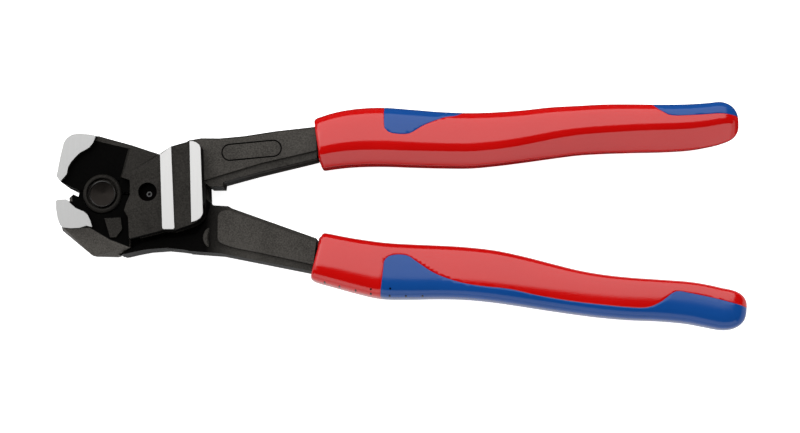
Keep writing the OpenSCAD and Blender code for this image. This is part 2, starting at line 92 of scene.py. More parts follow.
def make_camera():
    data = bpy.data.cameras.new("studio_camera")
    data.sensor_width = SENSOR_W
    data.lens = SENSOR_W * CAMERA_DISTANCE / (PHOTO_W * PIXEL)
    data.clip_start, data.clip_end = NEAREST, FARTHEST
    camera = bpy.data.objects.new("studio_camera", data)
    scene.collection.objects.link(camera)
    right = Vector((0, 1, 0)).cross(LOOK_BACK).normalized()
    up = LOOK_BACK.cross(right)
    turned = Matrix((right, up, LOOK_BACK)).transposed().to_4x4()
    camera.matrix_world = Matrix.Translation(SIGHT_POINT + LOOK_BACK * CAMERA_DISTANCE) @ turned
    scene.camera = camera
    print("lens in mm:", round(data.lens, 1))


make_camera()

# %% [markdown]
# ## Shader sums
# A finish is mostly arithmetic on a few noises. Its nodes could be laid out by hand, one call for each node and
# one for each wire, but such a list is hard to read. This class wraps a socket so that a sum of values in
# Python adds the matching Math nodes, and one method makes any other node.

# %% Shader sums


class Value:
    """A socket of one finish that takes part in Python sums."""

    def __init__(self, finish, socket):
        self.finish, self.socket = finish, socket

    def _sum(self, operation, first, second):
        return self.finish.node("ShaderNodeMath", {"operation": operation}, {0: first, 1: second})[0]

    def __add__(self, other): return self._sum("ADD", self, other)

    def __radd__(self, other): return self._sum("ADD", other, self)

    def __sub__(self, other): return self._sum("SUBTRACT", self, other)

    def __rsub__(self, other): return self._sum("SUBTRACT", other, self)

    def __mul__(self, other): return self._sum("MULTIPLY", self, other)

    def __rmul__(self, other): return self._sum("MULTIPLY", other, self)

    def __gt__(self, other): return self._sum("GREATER_THAN", self, other)

    def __lt__(self, other): return self._sum("LESS_THAN", self, other)

    def __abs__(self): return self._sum("ABSOLUTE", self, 0)


class Finish:
    """A material, the nodes that it is made of and its object coordinates."""

    def __init__(self, name):
        self.material = bpy.data.materials.new(name)
        self.material.use_nodes = True
        self.tree = self.material.node_tree
        self.shader = self.tree.nodes["Principled BSDF"]
        place = self.tree.nodes.new("ShaderNodeTexCoord").outputs["Object"]
        self.place = Value(self, place)

    def feed(self, socket, value):
        if isinstance(value, Value):
            self.tree.links.new(value.socket, socket)
        else:
            socket.default_value = value

    def node(self, kind, settings=None, inputs=None):
        """Makes a node, gives it its settings first and then its inputs, and gives back its outputs."""
        made = self.tree.nodes.new(kind)
        for key, setting in (settings or {}).items():
            if key == "stops":
                for spot, (position, colour) in enumerate(setting):
                    ramp = made.color_ramp.elements
                    stop = ramp[spot] if spot < len(ramp) else ramp.new(position)
                    stop.position, stop.color = position, colour
            else:
                setattr(made, key, setting)
        for key, value in (inputs or {}).items():
            self.feed(made.inputs[key], value)
        return [Value(self, out) for out in made.outputs if out.enabled]

    def noise(self, scale, detail, roughness, place=None):
        inputs = {"Vector": place or self.place, "Scale": scale, "Detail": detail, "Roughness": roughness}
        return self.node("ShaderNodeTexNoise", {}, inputs)[0]

    def stretched(self, factors):
        return self.node("ShaderNodeMapping", {}, {"Vector": self.place, "Scale": factors})[0]

    def axes(self):
        return self.node("ShaderNodeSeparateXYZ", {}, {0: self.place})

    def tint(self, colour, factor):
        settings = {"data_type": "RGBA", "blend_type": "MULTIPLY"}
        return self.node("ShaderNodeMix", settings, {0: 1.0, 6: colour, 7: factor})[0]

    def mix(self, factor, first, second):
        return self.node("ShaderNodeMix", {"data_type": "RGBA"}, {0: factor, 6: first, 7: second})[0]

    def bump(self, height, strength, distance):
        inputs = {"Height": height, "Strength": strength, "Distance": distance}
        return self.node("ShaderNodeBump", {}, inputs)[0]

    def surface(self, **sockets):
        for name, value in sockets.items():
            self.feed(self.shader.inputs[name.replace("_", " ")], value)
        return self.material


def grey(tone):
    return tone, tone, tone, 1


def squared_reach(x, y, centre):
    """The squared distance in plan from a centre, which takes no root to compare with a squared radius."""
    aside, ahead = x - centre.x, y - centre.y
    return aside * aside + ahead * ahead


print("sums ready: a value adds Math nodes, a finish makes all others")

# %% [markdown]
# ## Blackened and ground steel
# The forgings are blackened, which leaves a dark, slightly brown skin with a fine grain. The lands and the
# jaw ends are then ground, which cuts through the skin. Some facets look greyer than the rest because the deep
# flats beside them are painted nearly black as shade, and a few thin bands at steps are painted highlights and
# shadow lines. A painted mask could say which is which, but it would have to be painted again after each change
# of the shape. All of these are flats at a known height over the middle plane, so a ramp over the height gives
# each flat its own tone. Three small masks do what height alone can't: the ring round the bolt, painted shade on
# the nose of the lower jaw, and painted shade on the front of the lower lever.

# %% Blackened and ground steel
FULL_HEIGHT = 12.5
SKIN_TINT = (1.0, 0.93, 0.84, 1)
SHADE = .0015
RING_REACH, RING_FOOT = 6.4, 7.2
NOSE_REACH, NOSE_TOP = 9.6, 3.1
FRONT_TOP, FADE_AHEAD, FADE_BEHIND = 5.3, 4, 5
SKIN_EVEN, SKIN_MOTTLE, SKIN_GRAIN = 0.95, 0.9, 2.0
GROUND_EVEN, GROUND_STREAK = 0.93, 0.14
SKIN_METAL, SKIN_SHINE = 0.4, 0.02
SKIN_ROUGH, ROUGH_MOTTLE, ROUGH_GRAIN = 0.4, 0.12, 0.06
GROUND_ROUGH, ROUGH_STREAK = 0.26, 0.08
RELIEF_GRAIN, RELIEF_PITS, RELIEF_STREAK = 0.6, 0.9, 0.1
GRAIN_STRENGTH, GRAIN_DEPTH = 0.35, 0.00011


def forged_steel(name, tones, ground_height, bright, ring_tone=None, dark_before=None, dark_nose=False):
    """Steel whose tone follows its height: tones are pairs of a height in mm and a reflectance, painted light
    and shade included.
    """
    steel = Finish(name)
    x, y, z = steel.axes()
    height = abs(z - MID_Z)
    # The ramp paints light and shade: its dark rows are painted shade, and a few pale rows are painted
    # highlights.
    stops = [(level / FULL_HEIGHT, grey(tone)) for level, tone in tones]
    skin = steel.node("ShaderNodeValToRGB", {"stops": stops}, {0: height * (1 / (FULL_HEIGHT * MM))})[0]
    if ring_tone is not None:
        ring = (squared_reach(x, y, JAW_PIVOT) < (RING_REACH * MM) ** 2) * (height > RING_FOOT * MM)
        skin = steel.mix(ring, skin, grey(ring_tone))
    # Painted shade: the lower jaw's nose, within 9.6 mm of the jaw pivot and below 3.1 mm, is made nearly black.
    if dark_nose:
        nose = (squared_reach(x, y, JAW_PIVOT) < (NOSE_REACH * MM) ** 2) * (height < NOSE_TOP * MM)
        skin = steel.mix(nose, skin, grey(SHADE))
    # Painted shade: the lower lever's front, below 5.3 mm, fades to nearly black towards the jaws.
    if dark_before is not None:
        from_x, to_x = (dark_before - FADE_AHEAD) * MM, (dark_before + FADE_BEHIND) * MM
        fade = steel.node("ShaderNodeMapRange", {}, {0: x, 1: from_x, 2: to_x, 3: 1.0, 4: 0.0})[0]
        skin = steel.mix(fade * (height < FRONT_TOP * MM), skin, grey(SHADE))
    mottle = steel.noise(scale=150, detail=4, roughness=0.6)
    grain = steel.noise(scale=2400, detail=3, roughness=0.65)
    pits = steel.noise(scale=800, detail=2, roughness=0.5)
    streaks = steel.noise(scale=1, detail=3, roughness=0.6, place=steel.stretched((2200, 70, 400)))
    ground = height > ground_height * MM
    uneven = SKIN_EVEN + (mottle - 0.5) * SKIN_MOTTLE + (grain - 0.5) * SKIN_GRAIN
    # This tone still carries the ramp's painted shade and highlights; the tints add the brown skin and its
    # grain.
    blackened = steel.tint(steel.tint(skin, SKIN_TINT), uneven)
    polished = steel.tint(bright, GROUND_EVEN + streaks * GROUND_STREAK)
    relief = (grain * RELIEF_GRAIN + pits * RELIEF_PITS) * (1 - ground) + streaks * ground * RELIEF_STREAK
    skin_rough = SKIN_ROUGH + mottle * ROUGH_MOTTLE + grain * ROUGH_GRAIN
    ground_rough = GROUND_ROUGH + streaks * ROUGH_STREAK
    return steel.surface(
        Base_Color=steel.mix(ground, blackened, polished),
        Metallic=SKIN_METAL + ground * (1 - SKIN_METAL),
        Roughness=skin_rough * (1 - ground) + ground_rough * ground,
        Normal=steel.bump(relief, GRAIN_STRENGTH, GRAIN_DEPTH),
        Specular_IOR_Level=SKIN_SHINE,
    )


print("ramp covers heights up to", FULL_HEIGHT, "mm")

# %% [markdown]
# ## Turned steel
# The bolt, nut and pins are turned on a lathe and blackened. A shader made for brushed metal would stretch the
# highlight, but it says nothing about the cut itself. A lathe leaves rings round the axis, so a fine wave over
# the distance from the pin's own axis gives them, and they soften the highlight across the head. The bolt's end
# has one thin paler ring on the rim's inner slope, which is a painted highlight, and the handle pin's end has
# one thin paler ring too. The pins' finish is painted much darker than the bolt's, as the shade in the handle
# pin's hole.

# %% Turned steel
LATHE_PITCH = 0.22
TURNED_ROUGH, TURNED_MOTTLE = 0.26, 0.12
CUT_STRENGTH, CUT_DEPTH = 0.22, 0.00004


def turned_steel(name, axis, low, high, mark):
    """Blackened steel with lathe rings: the mark's x, y, inner and outer radius, in mm, and its tone."""
    steel = Finish(name)
    x, y, _ = steel.axes()
    radius = steel.node("ShaderNodeMath", {"operation": "SQRT"}, {0: squared_reach(x, y, axis)})[0]
    wave = radius * (2 * math.pi / (LATHE_PITCH * MM))
    rings = steel.node("ShaderNodeMath", {"operation": "SINE"}, {0: wave})[0]
    mottle = steel.noise(scale=260, detail=3, roughness=0.5)
    grain = steel.noise(scale=2000, detail=2, roughness=0.5)
    # The mark is one thin paler ring: on the bolt a painted highlight on the rim's inner slope, on the handle
    # pin a paler ring on its end.
    mark_x, mark_y, inner, outer, tone = mark
    away = squared_reach(x, y, axis + Vector((mark_x, mark_y, 0)) * MM)
    pale_ring = (away > (inner * MM) ** 2) * (away < (outer * MM) ** 2)
    return steel.surface(
        Base_Color=steel.mix(pale_ring, steel.mix(mottle, low, high), grey(tone)),
        Metallic=1.0,
        Roughness=TURNED_ROUGH + mottle * TURNED_MOTTLE,
        Normal=steel.bump(rings * 0.5 + grain * 0.5, CUT_STRENGTH, CUT_DEPTH),
    )


print("lathe rings are", LATHE_PITCH, "mm apart")

# %% [markdown]
# ## Moulded grips
# Both colours are moulded in one tool. The red is hard and satin, so the edge of the big light shows on it as a
# clear line. The blue is softer and duller. Flat plastic would look like paint, so a fine grain breaks the
# highlight, and slow changes in colour and roughness stand for handling. The lower grip has a row of small
# dimples near its front. They are far smaller than a face of the grip, so they are not modelled: each is a spot
# of painted shade in the finish, dark and metallic, where a real pit would lie in shade. A dimple is a place in
# plan from the jaw pivot, in millimetres, and a lowest height over the middle plane. The height keeps it from
# running down the side wall as a line.

# %% Moulded grips
# A dimple's radius in mm, and how far its painted shade darkens the plastic.
DIMPLE_R, DIMPLE_SHADE = 0.3, 0.93
DIMPLES = ((64.5, -25.9, 2), (68.8, -27.1, 2), (73.5, -28.3, 2), (77.9, -29.3, 3.9), (83.3, -29.9, 4.3),
           (88, -30, 4.1), (92.8, -30, 3.9), (78, -28.1, 6), (83.6, -28, 6.2))
HANDLING_ROUGH, SATIN_ROUGH = 0.05, 0.04
SATIN_STRENGTH, SATIN_DEPTH = 0.2, 0.00003


def moulded(name, deep, light, roughness, shine):
    """Plastic between two shades of one colour, with the dimples as spots of painted shade."""
    plastic = Finish(name)
    grain = plastic.noise(scale=3800, detail=2, roughness=0.6)
    handling = plastic.noise(scale=55, detail=3, roughness=0.5)
    x, y, z = plastic.axes()
    # Each dimple is a spot of painted shade: near-black and metallic, where a real pit would lie in shade.
    dimple_shade = 0
    for dimple_x, dimple_y, low in DIMPLES:
        centre = JAW_PIVOT + Vector((dimple_x, dimple_y, 0)) * MM
        near = squared_reach(x, y, centre) < (DIMPLE_R * MM) ** 2
        dimple_shade = near * (abs(z - MID_Z) > low * MM) + dimple_shade
    skin = plastic.mix(handling, deep, light)
    return plastic.surface(
        Base_Color=plastic.tint(skin, 1 - dimple_shade * DIMPLE_SHADE),
        Metallic=dimple_shade,
        Roughness=roughness + handling * HANDLING_ROUGH + grain * SATIN_ROUGH,
        Normal=plastic.bump(grain, SATIN_STRENGTH, SATIN_DEPTH),
        Specular_IOR_Level=shine,
    )


print("dimples in the finish:", len(DIMPLES))

# %% [markdown]
# ## The finishes of this tool
# Each forging has its own table of heights and tones. Between two rows the tone flows, so a flat that needs a
# clean edge gets two rows close together. The tables paint light and shade: deep flats are painted nearly black,
# because little light reaches them, and a few thin rows are painted highlights and shadow lines at steps.

# %% Make the finishes
JAW_GROUND, LEVER_GROUND = 8.6, 11.75
JAW_BRIGHT, LEVER_BRIGHT = (.27, .27, .268, 1), (.36, .358, .354, 1)
# In the jaws' tables the near-black rows at 7 mm paint the jaw's face as shade, and the upper jaw's low flats
# are painted nearly black as shade.
UPPER_JAW_TONES_AND_SHADE = ((0, .004), (3, .004), (3.3, .03), (6.85, .03), (6.97, .0008), (7.03, .0008), (7.3, .02),
                   (7.9, .019))
LOWER_JAW_TONES_AND_SHADE = ((0, .06), (6.85, .06), (6.97, .0008), (7.03, .0008), (7.3, .018), (7.9, .018))
# In the upper lever's table the pale band at 3.05 to 3.3 mm is a painted highlight, and the near-black rows are
# painted shade, with a dark line at 10.6 mm along the panel's edge.
UPPER_LEVER_SHADE_AND_HIGHLIGHT_TONES = ((0, .004), (3.05, .06), (3.3, .06), (3.45, .004), (4.9, .004), (5.0, .034), (5.25, .034),
                     (5.32, .0006), (5.75, .0006), (5.93, .038), (6.1, .038), (6.4, .004), (10.6, .0015),
                     (10.78, .0185))
# In the lower lever's table everything below 4.9 mm is painted nearly black as shade.
LOWER_LEVER_TONES_AND_SHADE = ((0, .003), (4.9, .003), (4.99, .032), (5.35, .03), (5.9, .039))
RIB_TONES = ((0, .03), (12, .04))
FRONT_SHADE_END = 14.5
# The bolt's mark is a painted highlight on its rim. The pin tones are painted very dark, as shade in the handle
# pin's hole.
BOLT_SKIN, BOLT_RIM_HIGHLIGHT = ((.007, .0061, .0055, 1), (.015, .013, .0115, 1)), (0, 0, 3.56, 3.75, .09)
PIN_SKIN_IN_SHADE, PIN_MARK = ((.0007, .0006, .0006, 1), (.0012, .0011, .001, 1)), (.15, -.35, .45, .8, .045)
RED = (0.32, 0.0006, 0.0004, 1), (0.37, 0.0009, 0.0006, 1)
BLUE = (0.0022, 0.035, 0.155, 1), (0.0032, 0.042, 0.185, 1)
upper_jaw_finish = forged_steel("upper_jaw_steel", UPPER_JAW_TONES_AND_SHADE, JAW_GROUND, JAW_BRIGHT, ring_tone=.013)
lower_jaw_finish = forged_steel("lower_jaw_steel", LOWER_JAW_TONES_AND_SHADE, JAW_GROUND, JAW_BRIGHT, dark_nose=True)
upper_lever_finish = forged_steel("upper_lever_steel", UPPER_LEVER_SHADE_AND_HIGHLIGHT_TONES, LEVER_GROUND, LEVER_BRIGHT)
lower_lever_finish = forged_steel("lower_lever_steel", LOWER_LEVER_TONES_AND_SHADE, LEVER_GROUND, LEVER_BRIGHT,
                                  dark_before=FRONT_SHADE_END)
bolt_finish = turned_steel("bolt_steel", JAW_PIVOT, *BOLT_SKIN, mark=BOLT_RIM_HIGHLIGHT)
pin_finish = turned_steel("pin_steel", HANDLE_PIVOT, *PIN_SKIN_IN_SHADE, mark=PIN_MARK)
red_finish = moulded("red_grip", *RED, roughness=0.1, shine=0.5)
blue_finish = moulded("blue_grip", *BLUE, roughness=0.13, shine=0.27)
print("finishes made")

# %% [markdown]
# ## From a shape to a piece
# Every piece that is drawn here ends the same way: the shape becomes an object in one finish, rides on its
# body and takes the place of the CAD piece that it stands for. The forgings and the bolt also get their corners
# rounded. Cutting the radius into the mesh would make it heavy, so a live Bevel does it. The flats then take the
# normals of the large faces, so that they stay flat to the eye.

# %% From a shape to a piece


def smoothed(shape):
    for face in shape.faces:
        face.smooth = True


def new_piece(name, shape, finish):
    """Makes an object of a shape, at the origin and in one finish."""
    mesh = bpy.data.meshes.new(name)
    shape.to_mesh(mesh)
    shape.free()
    mesh.materials.append(finish)
    piece = bpy.data.objects.new(name, mesh)
    scene.collection.objects.link(piece)
    return piece


def round_edges(piece, name, width, segments, angle, miter="MITER_SHARP"):
    """Rounds the corners sharper than the angle, in degrees, by the width, in mm."""
    bevel = piece.modifiers.new(name, "BEVEL")
    bevel.width, bevel.segments = width * MM, segments
    bevel.limit_method, bevel.angle_limit = "ANGLE", math.radians(angle)
    bevel.miter_outer = miter
    flats = piece.modifiers.new("true_flats", "WEIGHTED_NORMAL")
    flats.mode, flats.weight = "FACE_AREA", 100


def hand_over(piece, body, nodes):
    """Lets a piece ride on its body, in the place of the CAD pieces that it stands for, if there are any."""
    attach(piece, body)
    if nodes:
        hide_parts(*nodes)
    print(piece.name, "made,", len(piece.data.polygons), "faces")


print("every piece is made by new_piece and seated by hand_over")

# %% [markdown]
# ## Softened forgings
# A forging has no sharp corner: every edge carries the radius of its die. A copy of the CAD mesh is merged,
# its flat triangles are joined to whole faces, and the Bevel then rounds the corners. A voxel remesh would
# soften everything at once, but it would also eat the small steps that make this head what it is. A few rims
# are rounder than the rest. They are found by their height and their distance from the jaw pivot and rounded
# first, with a radius of their own.

# %% Softened forgings
SAME_POINT = 0.004
SAME_FLAT = 0.6
SAME_HEIGHT = 0.03
SHARP_CORNER = 50
DIE_SEGMENTS, DIE_ANGLE = 3, 24
UPPER_JAW_RIMS = ((8, 5.5, 5.8, 0.75, 5), (8, 4.4, 4.7, 0.3, 3))
UPPER_LEVER_RIMS = ((10.8, 5, 14.5, 1.1, 1),)


def on_rim(edge, height, low_r, high_r):
    """True for a sharp edge at this height over the middle plane, between these distances from the pivot."""
    for point in edge.verts:
        away = (point.co - JAW_PIVOT).xy.length / MM
        if abs(abs(point.co.z - MID_Z) / MM - height) > SAME_HEIGHT or not low_r < away < high_r:
            return False
    return len(edge.link_faces) == 2 and edge.calc_face_angle(0) > math.radians(SHARP_CORNER)


def softened(node, body, finish, width, rims=()):
    """Redraws a forging: each rim is a height, two distances from the pivot, a radius and its segments."""
    shape = bmesh.new()
    shape.from_mesh(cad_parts[node].data)
    bmesh.ops.remove_doubles(shape, verts=shape.verts, dist=SAME_POINT * MM)
    bmesh.ops.dissolve_limit(shape, angle_limit=math.radians(SAME_FLAT), verts=shape.verts, edges=shape.edges)
    for height, low_r, high_r, radius, segments in rims:
        corners = [edge for edge in shape.edges if on_rim(edge, height, low_r, high_r)]
        bmesh.ops.bevel(shape, geom=corners, offset=radius * MM, segments=segments, profile=0.5,
                        affect="EDGES", material=-1, clamp_overlap=True)
        print(node, "rim edges rounded:", len(corners))
    smoothed(shape)
    piece = new_piece(node + "_dressed", shape, finish)
    round_edges(piece, "die_radius", width, DIE_SEGMENTS, DIE_ANGLE, "MITER_ARC")
    hand_over(piece, body, (node,))


softened("upper_jaw", "upper_bite", upper_jaw_finish, width=0.28, rims=UPPER_JAW_RIMS)
softened("lower_jaw", "lower_bite", lower_jaw_finish, width=0.28)
softened("upper_handle", "upper_lever", upper_lever_finish, width=0.3, rims=UPPER_LEVER_RIMS)
softened("lower_handle", "lower_lever", lower_lever_finish, width=0.4)

# %% [markdown]
# ## Bolt head
# The bolt is one turned piece, so it is one outline spun round the axis: shank, seat, rolled rim and a very
# shallow cone inside the rim. A stack of cylinders would need joining, and its steps would stay too crisp. The
# rim's inner slope catches the light as a thin bright ring, and the bolt's finish adds a painted highlight on
# that slope as a paler ring.

# %% Spin the bolt
SPIN_STEPS = 96
CLOSED_SEAM = 0.001
TURNED_RADIUS, TURNED_SEGMENTS, TURNED_ANGLE = 0.07, 2, 20


def spun(name, outline, axis, body, finish, node):
    """A turned piece: an outline of radius and height in mm, spun once round the axis."""
    shape = bmesh.new()
    points = [shape.verts.new(axis + Vector((radius, 0, height)) * MM) for radius, height in outline]
    edges = [shape.edges.new(pair) for pair in zip(points, points[1:])]
    bmesh.ops.spin(shape, geom=points + edges, cent=axis, axis=(0, 0, 1), angle=math.tau, steps=SPIN_STEPS,
                   use_merge=True)
    bmesh.ops.remove_doubles(shape, verts=shape.verts, dist=CLOSED_SEAM * MM)
    bmesh.ops.recalc_face_normals(shape, faces=shape.faces)
    smoothed(shape)
    piece = new_piece(name, shape, finish)
    round_edges(piece, "turned_edge", TURNED_RADIUS, TURNED_SEGMENTS, TURNED_ANGLE)
    hand_over(piece, body, (node,))


bolt_end = min(point.co.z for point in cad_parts["jaw_pivot_bolt"].data.vertices) / MM - MID_Z / MM
BOLT = ((0, bolt_end), (2.3, bolt_end), (2.6, bolt_end + .3), (2.6, 6), (4.06, 6), (4.06, 7.42), (3.92, 7.6),
        (3.74, 7.6), (3.58, 7.36), (3.3, 7.3), (.35, 6.86), (0, 6.84))
spun("jaw_pivot_bolt_turned", BOLT, JAW_PIVOT, "upper_bite", bolt_finish, "jaw_pivot_bolt")

# %% [markdown]
# ## Nut and pins
# These four are simple and mostly hidden. Their CAD meshes already have the right shape, so drawing them again
# would add nothing, and they only get their finish.

# %% Carry over the turned pieces
TURNED = {"jaw_pivot_nut": bolt_finish, "handle_pivot_pin": pin_finish, "upper_link_pin": pin_finish,
          "lower_link_pin": pin_finish}
for node, finish in TURNED.items():
    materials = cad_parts[node].data.materials
    materials.clear()
    materials.append(finish)
print("carried over:", ", ".join(TURNED))

# %% [markdown]
# ## Shoulder rib
# Where the lower lever leaves the cheeks it has a short curved rib. It could be sculpted out of the lever, but
# a small piece of its own keeps the lever's faces clean. It is a circle that is squeezed and bowed, raised by
# an extrusion and rounded on top. The tool is the same on its back, so a mirrored copy lies there.

# %% Shoulder rib
RIB_PLACE = Vector((30.0, -12.7, 0)) * MM
RIB_HALF_LENGTH, RIB_HALF_WIDTH, RIB_BOW = 2.8, 0.85, 0.8
RIB_LOW, RIB_HIGH = 4.6, 5.6
RIB_SIDES = 32
CROWN_RADIUS, CROWN_SEGMENTS = 0.3, 4


def shoulder_rib(name, body, finish):
    shape = bmesh.new()
    for point in bmesh.ops.create_circle(shape, cap_ends=True, segments=RIB_SIDES, radius=1)["verts"]:
        bow = RIB_BOW * point.co.y ** 2
        point.co = Vector((RIB_HALF_WIDTH * point.co.x + bow, RIB_HALF_LENGTH * point.co.y, RIB_LOW))
    raised = bmesh.ops.extrude_face_region(shape, geom=shape.faces[:])["geom"]
    top = [item for item in raised if isinstance(item, bmesh.types.BMVert)]
    bmesh.ops.translate(shape, verts=top, vec=(0, 0, RIB_HIGH - RIB_LOW))
    crown = [edge for edge in shape.edges if set(edge.verts) <= set(top)]
    bmesh.ops.bevel(shape, geom=crown, offset=CROWN_RADIUS, segments=CROWN_SEGMENTS, profile=0.5,
                    affect="EDGES", material=-1)
    bmesh.ops.mirror(shape, geom=shape.verts[:] + shape.edges[:] + shape.faces[:], axis="Z", merge_dist=0)
    bmesh.ops.scale(shape, verts=shape.verts, vec=(MM, MM, MM))
    bmesh.ops.translate(shape, verts=shape.verts, vec=JAW_PIVOT + RIB_PLACE)
    bmesh.ops.recalc_face_normals(shape, faces=shape.faces)
    smoothed(shape)
    hand_over(new_piece(name, shape, finish), body, ())


rib_finish = forged_steel("rib_steel", RIB_TONES, LEVER_GROUND, LEVER_BRIGHT)
shoulder_rib("lower_shoulder_rib", "lower_lever", rib_finish)

# %% [markdown]
# ## Grips: one flowing body
# Each grip is a long soft box. It could be a stretched cylinder with a subdivision modifier, but then the
# waist, the finger swell and the crease would fight each other. So a ring is extruded from station to station
# and shaped at each one. The rows below give the middle, the half width and the half depth along the grip, and
# where the crest and the crease run. Each entry is a place from 0 to 1 along the grip and a share of the
# largest half width or depth. Between rows everything flows smoothly. The front is the middle of the front
# edge, in millimetres from the jaw pivot, and the slope is the grip's direction in degrees. The lean sets the
# front edge at a slight angle, the roll says how square the outer side is, and outer says which side that is.

# %% Rows along both grips
HALF_W, HALF_D = 8.4, 7.8
UPPER = {
    "front": Vector((62.1, 14.7)), "slope": 3.0, "length": 122.4, "outer": 1,
    "middle": ((0, .02), (.05, .14), (.1, .185), (.16, .155), (.23, .04), (.29, -.06), (.36, -.143),
               (.42, -.146), (.49, -.11), (.555, -.053), (.62, -.026), (.685, -.034), (.75, -.077),
               (.815, -.13), (.88, -.15), (.93, -.106), (.963, -.05), (1, -.07)),
    "half_width": ((0, .885), (.02, .912), (.05, .95), (.1, .985), (.16, 1), (.23, .983), (.29, .958),
                   (.36, .938), (.42, .908), (.49, .88), (.555, .869), (.62, .837), (.685, .836),
                   (.75, .826), (.815, .81), (.88, .785), (.93, .746), (1, .69)),
    "half_depth": ((0, .93), (.05, 1), (.16, 1), (.29, .97), (.42, .95), (.68, .94), (.815, .93),
                   (.88, .91), (.93, .87), (1, .8)),
    "crest": ((0, -.2), (.3, -.19), (.45, -.15), (.6, 0), (.7, .06), (.8, .13), (1, .15)),
    "crease": ((0, -.53), (.17, -.56), (.3, -.52), (.45, -.5), (.59, -.335), (.7, -.26), (.8, -.19),
               (1, -.19)),
    "lean": (-0.65, 1.05), "roll": 3.2,
}
LOWER = {
    "front": Vector((61.6, -18.7)), "slope": -6.6, "length": 125.2, "outer": -1,
    "middle": ((0, .08), (.05, -.012), (.1, -.095), (.16, -.15), (.225, -.083), (.29, .012), (.35, .072),
               (.415, .077), (.48, .012), (.545, -.08), (.61, -.162), (.67, -.194), (.735, -.178),
               (.8, -.123), (.865, -.096), (.91, -.14), (.945, -.185), (1, -.16)),
    "half_width": ((0, .83), (.02, .857), (.05, .875), (.1, .917), (.16, .954), (.225, .936),
                   (.29, .907), (.35, .888), (.415, .874), (.48, .84), (.545, .791), (.61, .741),
                   (.67, .721), (.735, .711), (.8, .697), (.865, .703), (.91, .71), (.945, .7), (1, .67)),
    "half_depth": ((0, .93), (.05, 1), (.16, 1), (.29, .97), (.42, .95), (.68, .94), (.8, .93),
                   (.865, .91), (.91, .88), (1, .8)),
    "crest": ((0, .08), (.3, .12), (.45, .05), (.6, -.2), (.8, -.36), (1, -.3)),
    "lean": (1.55, -0.85), "roll": 3.6,
}


def eased(start, stop, leave, arrive, t):
    """The place at t, from 0 to 1, on a curve that leaves start and arrives at stop with these slopes."""
    return (start * (1 + 2 * t) * (1 - t) ** 2 + leave * t * (1 - t) ** 2
            + stop * t * t * (3 - 2 * t) + arrive * t * t * (t - 1))


def flow(row, spot):
    """The value of a row at a spot, on a smooth curve through its entries."""
    last = len(row) - 2
    at = max(0, min(last, sum(1 for place, _ in row if place <= spot) - 1))
    (x0, y0), (x1, y1) = row[at], row[at + 1]
    before, after = row[max(at - 1, 0)], row[min(at + 2, last + 1)]
    gap = x1 - x0
    rise_in = (y1 - before[1]) / (x1 - before[0]) * gap
    rise_out = (after[1] - y0) / (after[0] - x0) * gap
    return eased(y0, y1, rise_in, rise_out, (spot - x0) / gap)


print("rows per grip:", len(UPPER["middle"]), len(LOWER["middle"]))

# %% [markdown]
# ## The section of a grip
# Cut across, a grip has a crest and a broad side that rolls over to the outer edge. The upper grip has a crease
# on its inner side with a flat facet below it, and the facet is what looks pale beside the deep red band. The
# lower grip has no crease and rolls over on both sides. The far side of the tool is the same shape turned over.
# A drawn profile could be swept along instead, but it couldn't change on the way, and these sections do. A step
# counts from the inner edge over the crest to the outer edge.

# %% The section of a grip
SIDE_STEPS = 35
NOSE, FACET, BAND = 4, 11, 20
NOSE_ACROSS = -0.985
INNER_ROLL = 4.5
CREASE_RISE, FACET_FALL, FACET_BULGE, BAND_EASE = 0.27, 0.94, 0.005, 1.3
LEAN_FADE = 12


def rolled(share, power):
    """Across and depth, from 0 to 1, on a corner that gets squarer as the power rises."""
    across, depth = math.sin(math.radians(90) * share), math.cos(math.radians(90) * share)
    size = (abs(across) ** power + abs(depth) ** power) ** (-1 / power)
    return across * size, (depth * size if share < 1 else 0)


def half_section(step, crest, crease, outer_roll, facet_fall):
    """Across and depth, both from -1 to 1, for one step from the inner edge to the outer edge."""
    if crease is None and step <= BAND:
        across, depth = rolled((BAND - step) / BAND, INNER_ROLL)
        return crest - (1 + crest) * across, depth
    if step > BAND:
        across, depth = rolled((step - BAND) / (SIDE_STEPS - BAND), outer_roll)
        return crest + (1 - crest) * across, depth
    fold = 1 - CREASE_RISE * (crest - crease)
    nose_z = fold - facet_fall * (crease - NOSE_ACROSS)
    if step <= NOSE:
        share = step / NOSE
        return -1 + (1 + NOSE_ACROSS) * share ** 2, nose_z * share
    if step <= FACET:
        share = (step - NOSE) / (FACET - NOSE)
        share = share * share * (3 - 2 * share)
        bulge = FACET_BULGE * math.sin(math.pi * share)
        return (NOSE_ACROSS + (crease - NOSE_ACROSS) * share - bulge,
                nose_z + (fold - nose_z) * share + bulge)
    share = ((step - FACET) / (BAND - FACET)) ** BAND_EASE
    return crease + (crest - crease) * share, fold + (1 - fold) * (1 - (1 - share) ** 2)


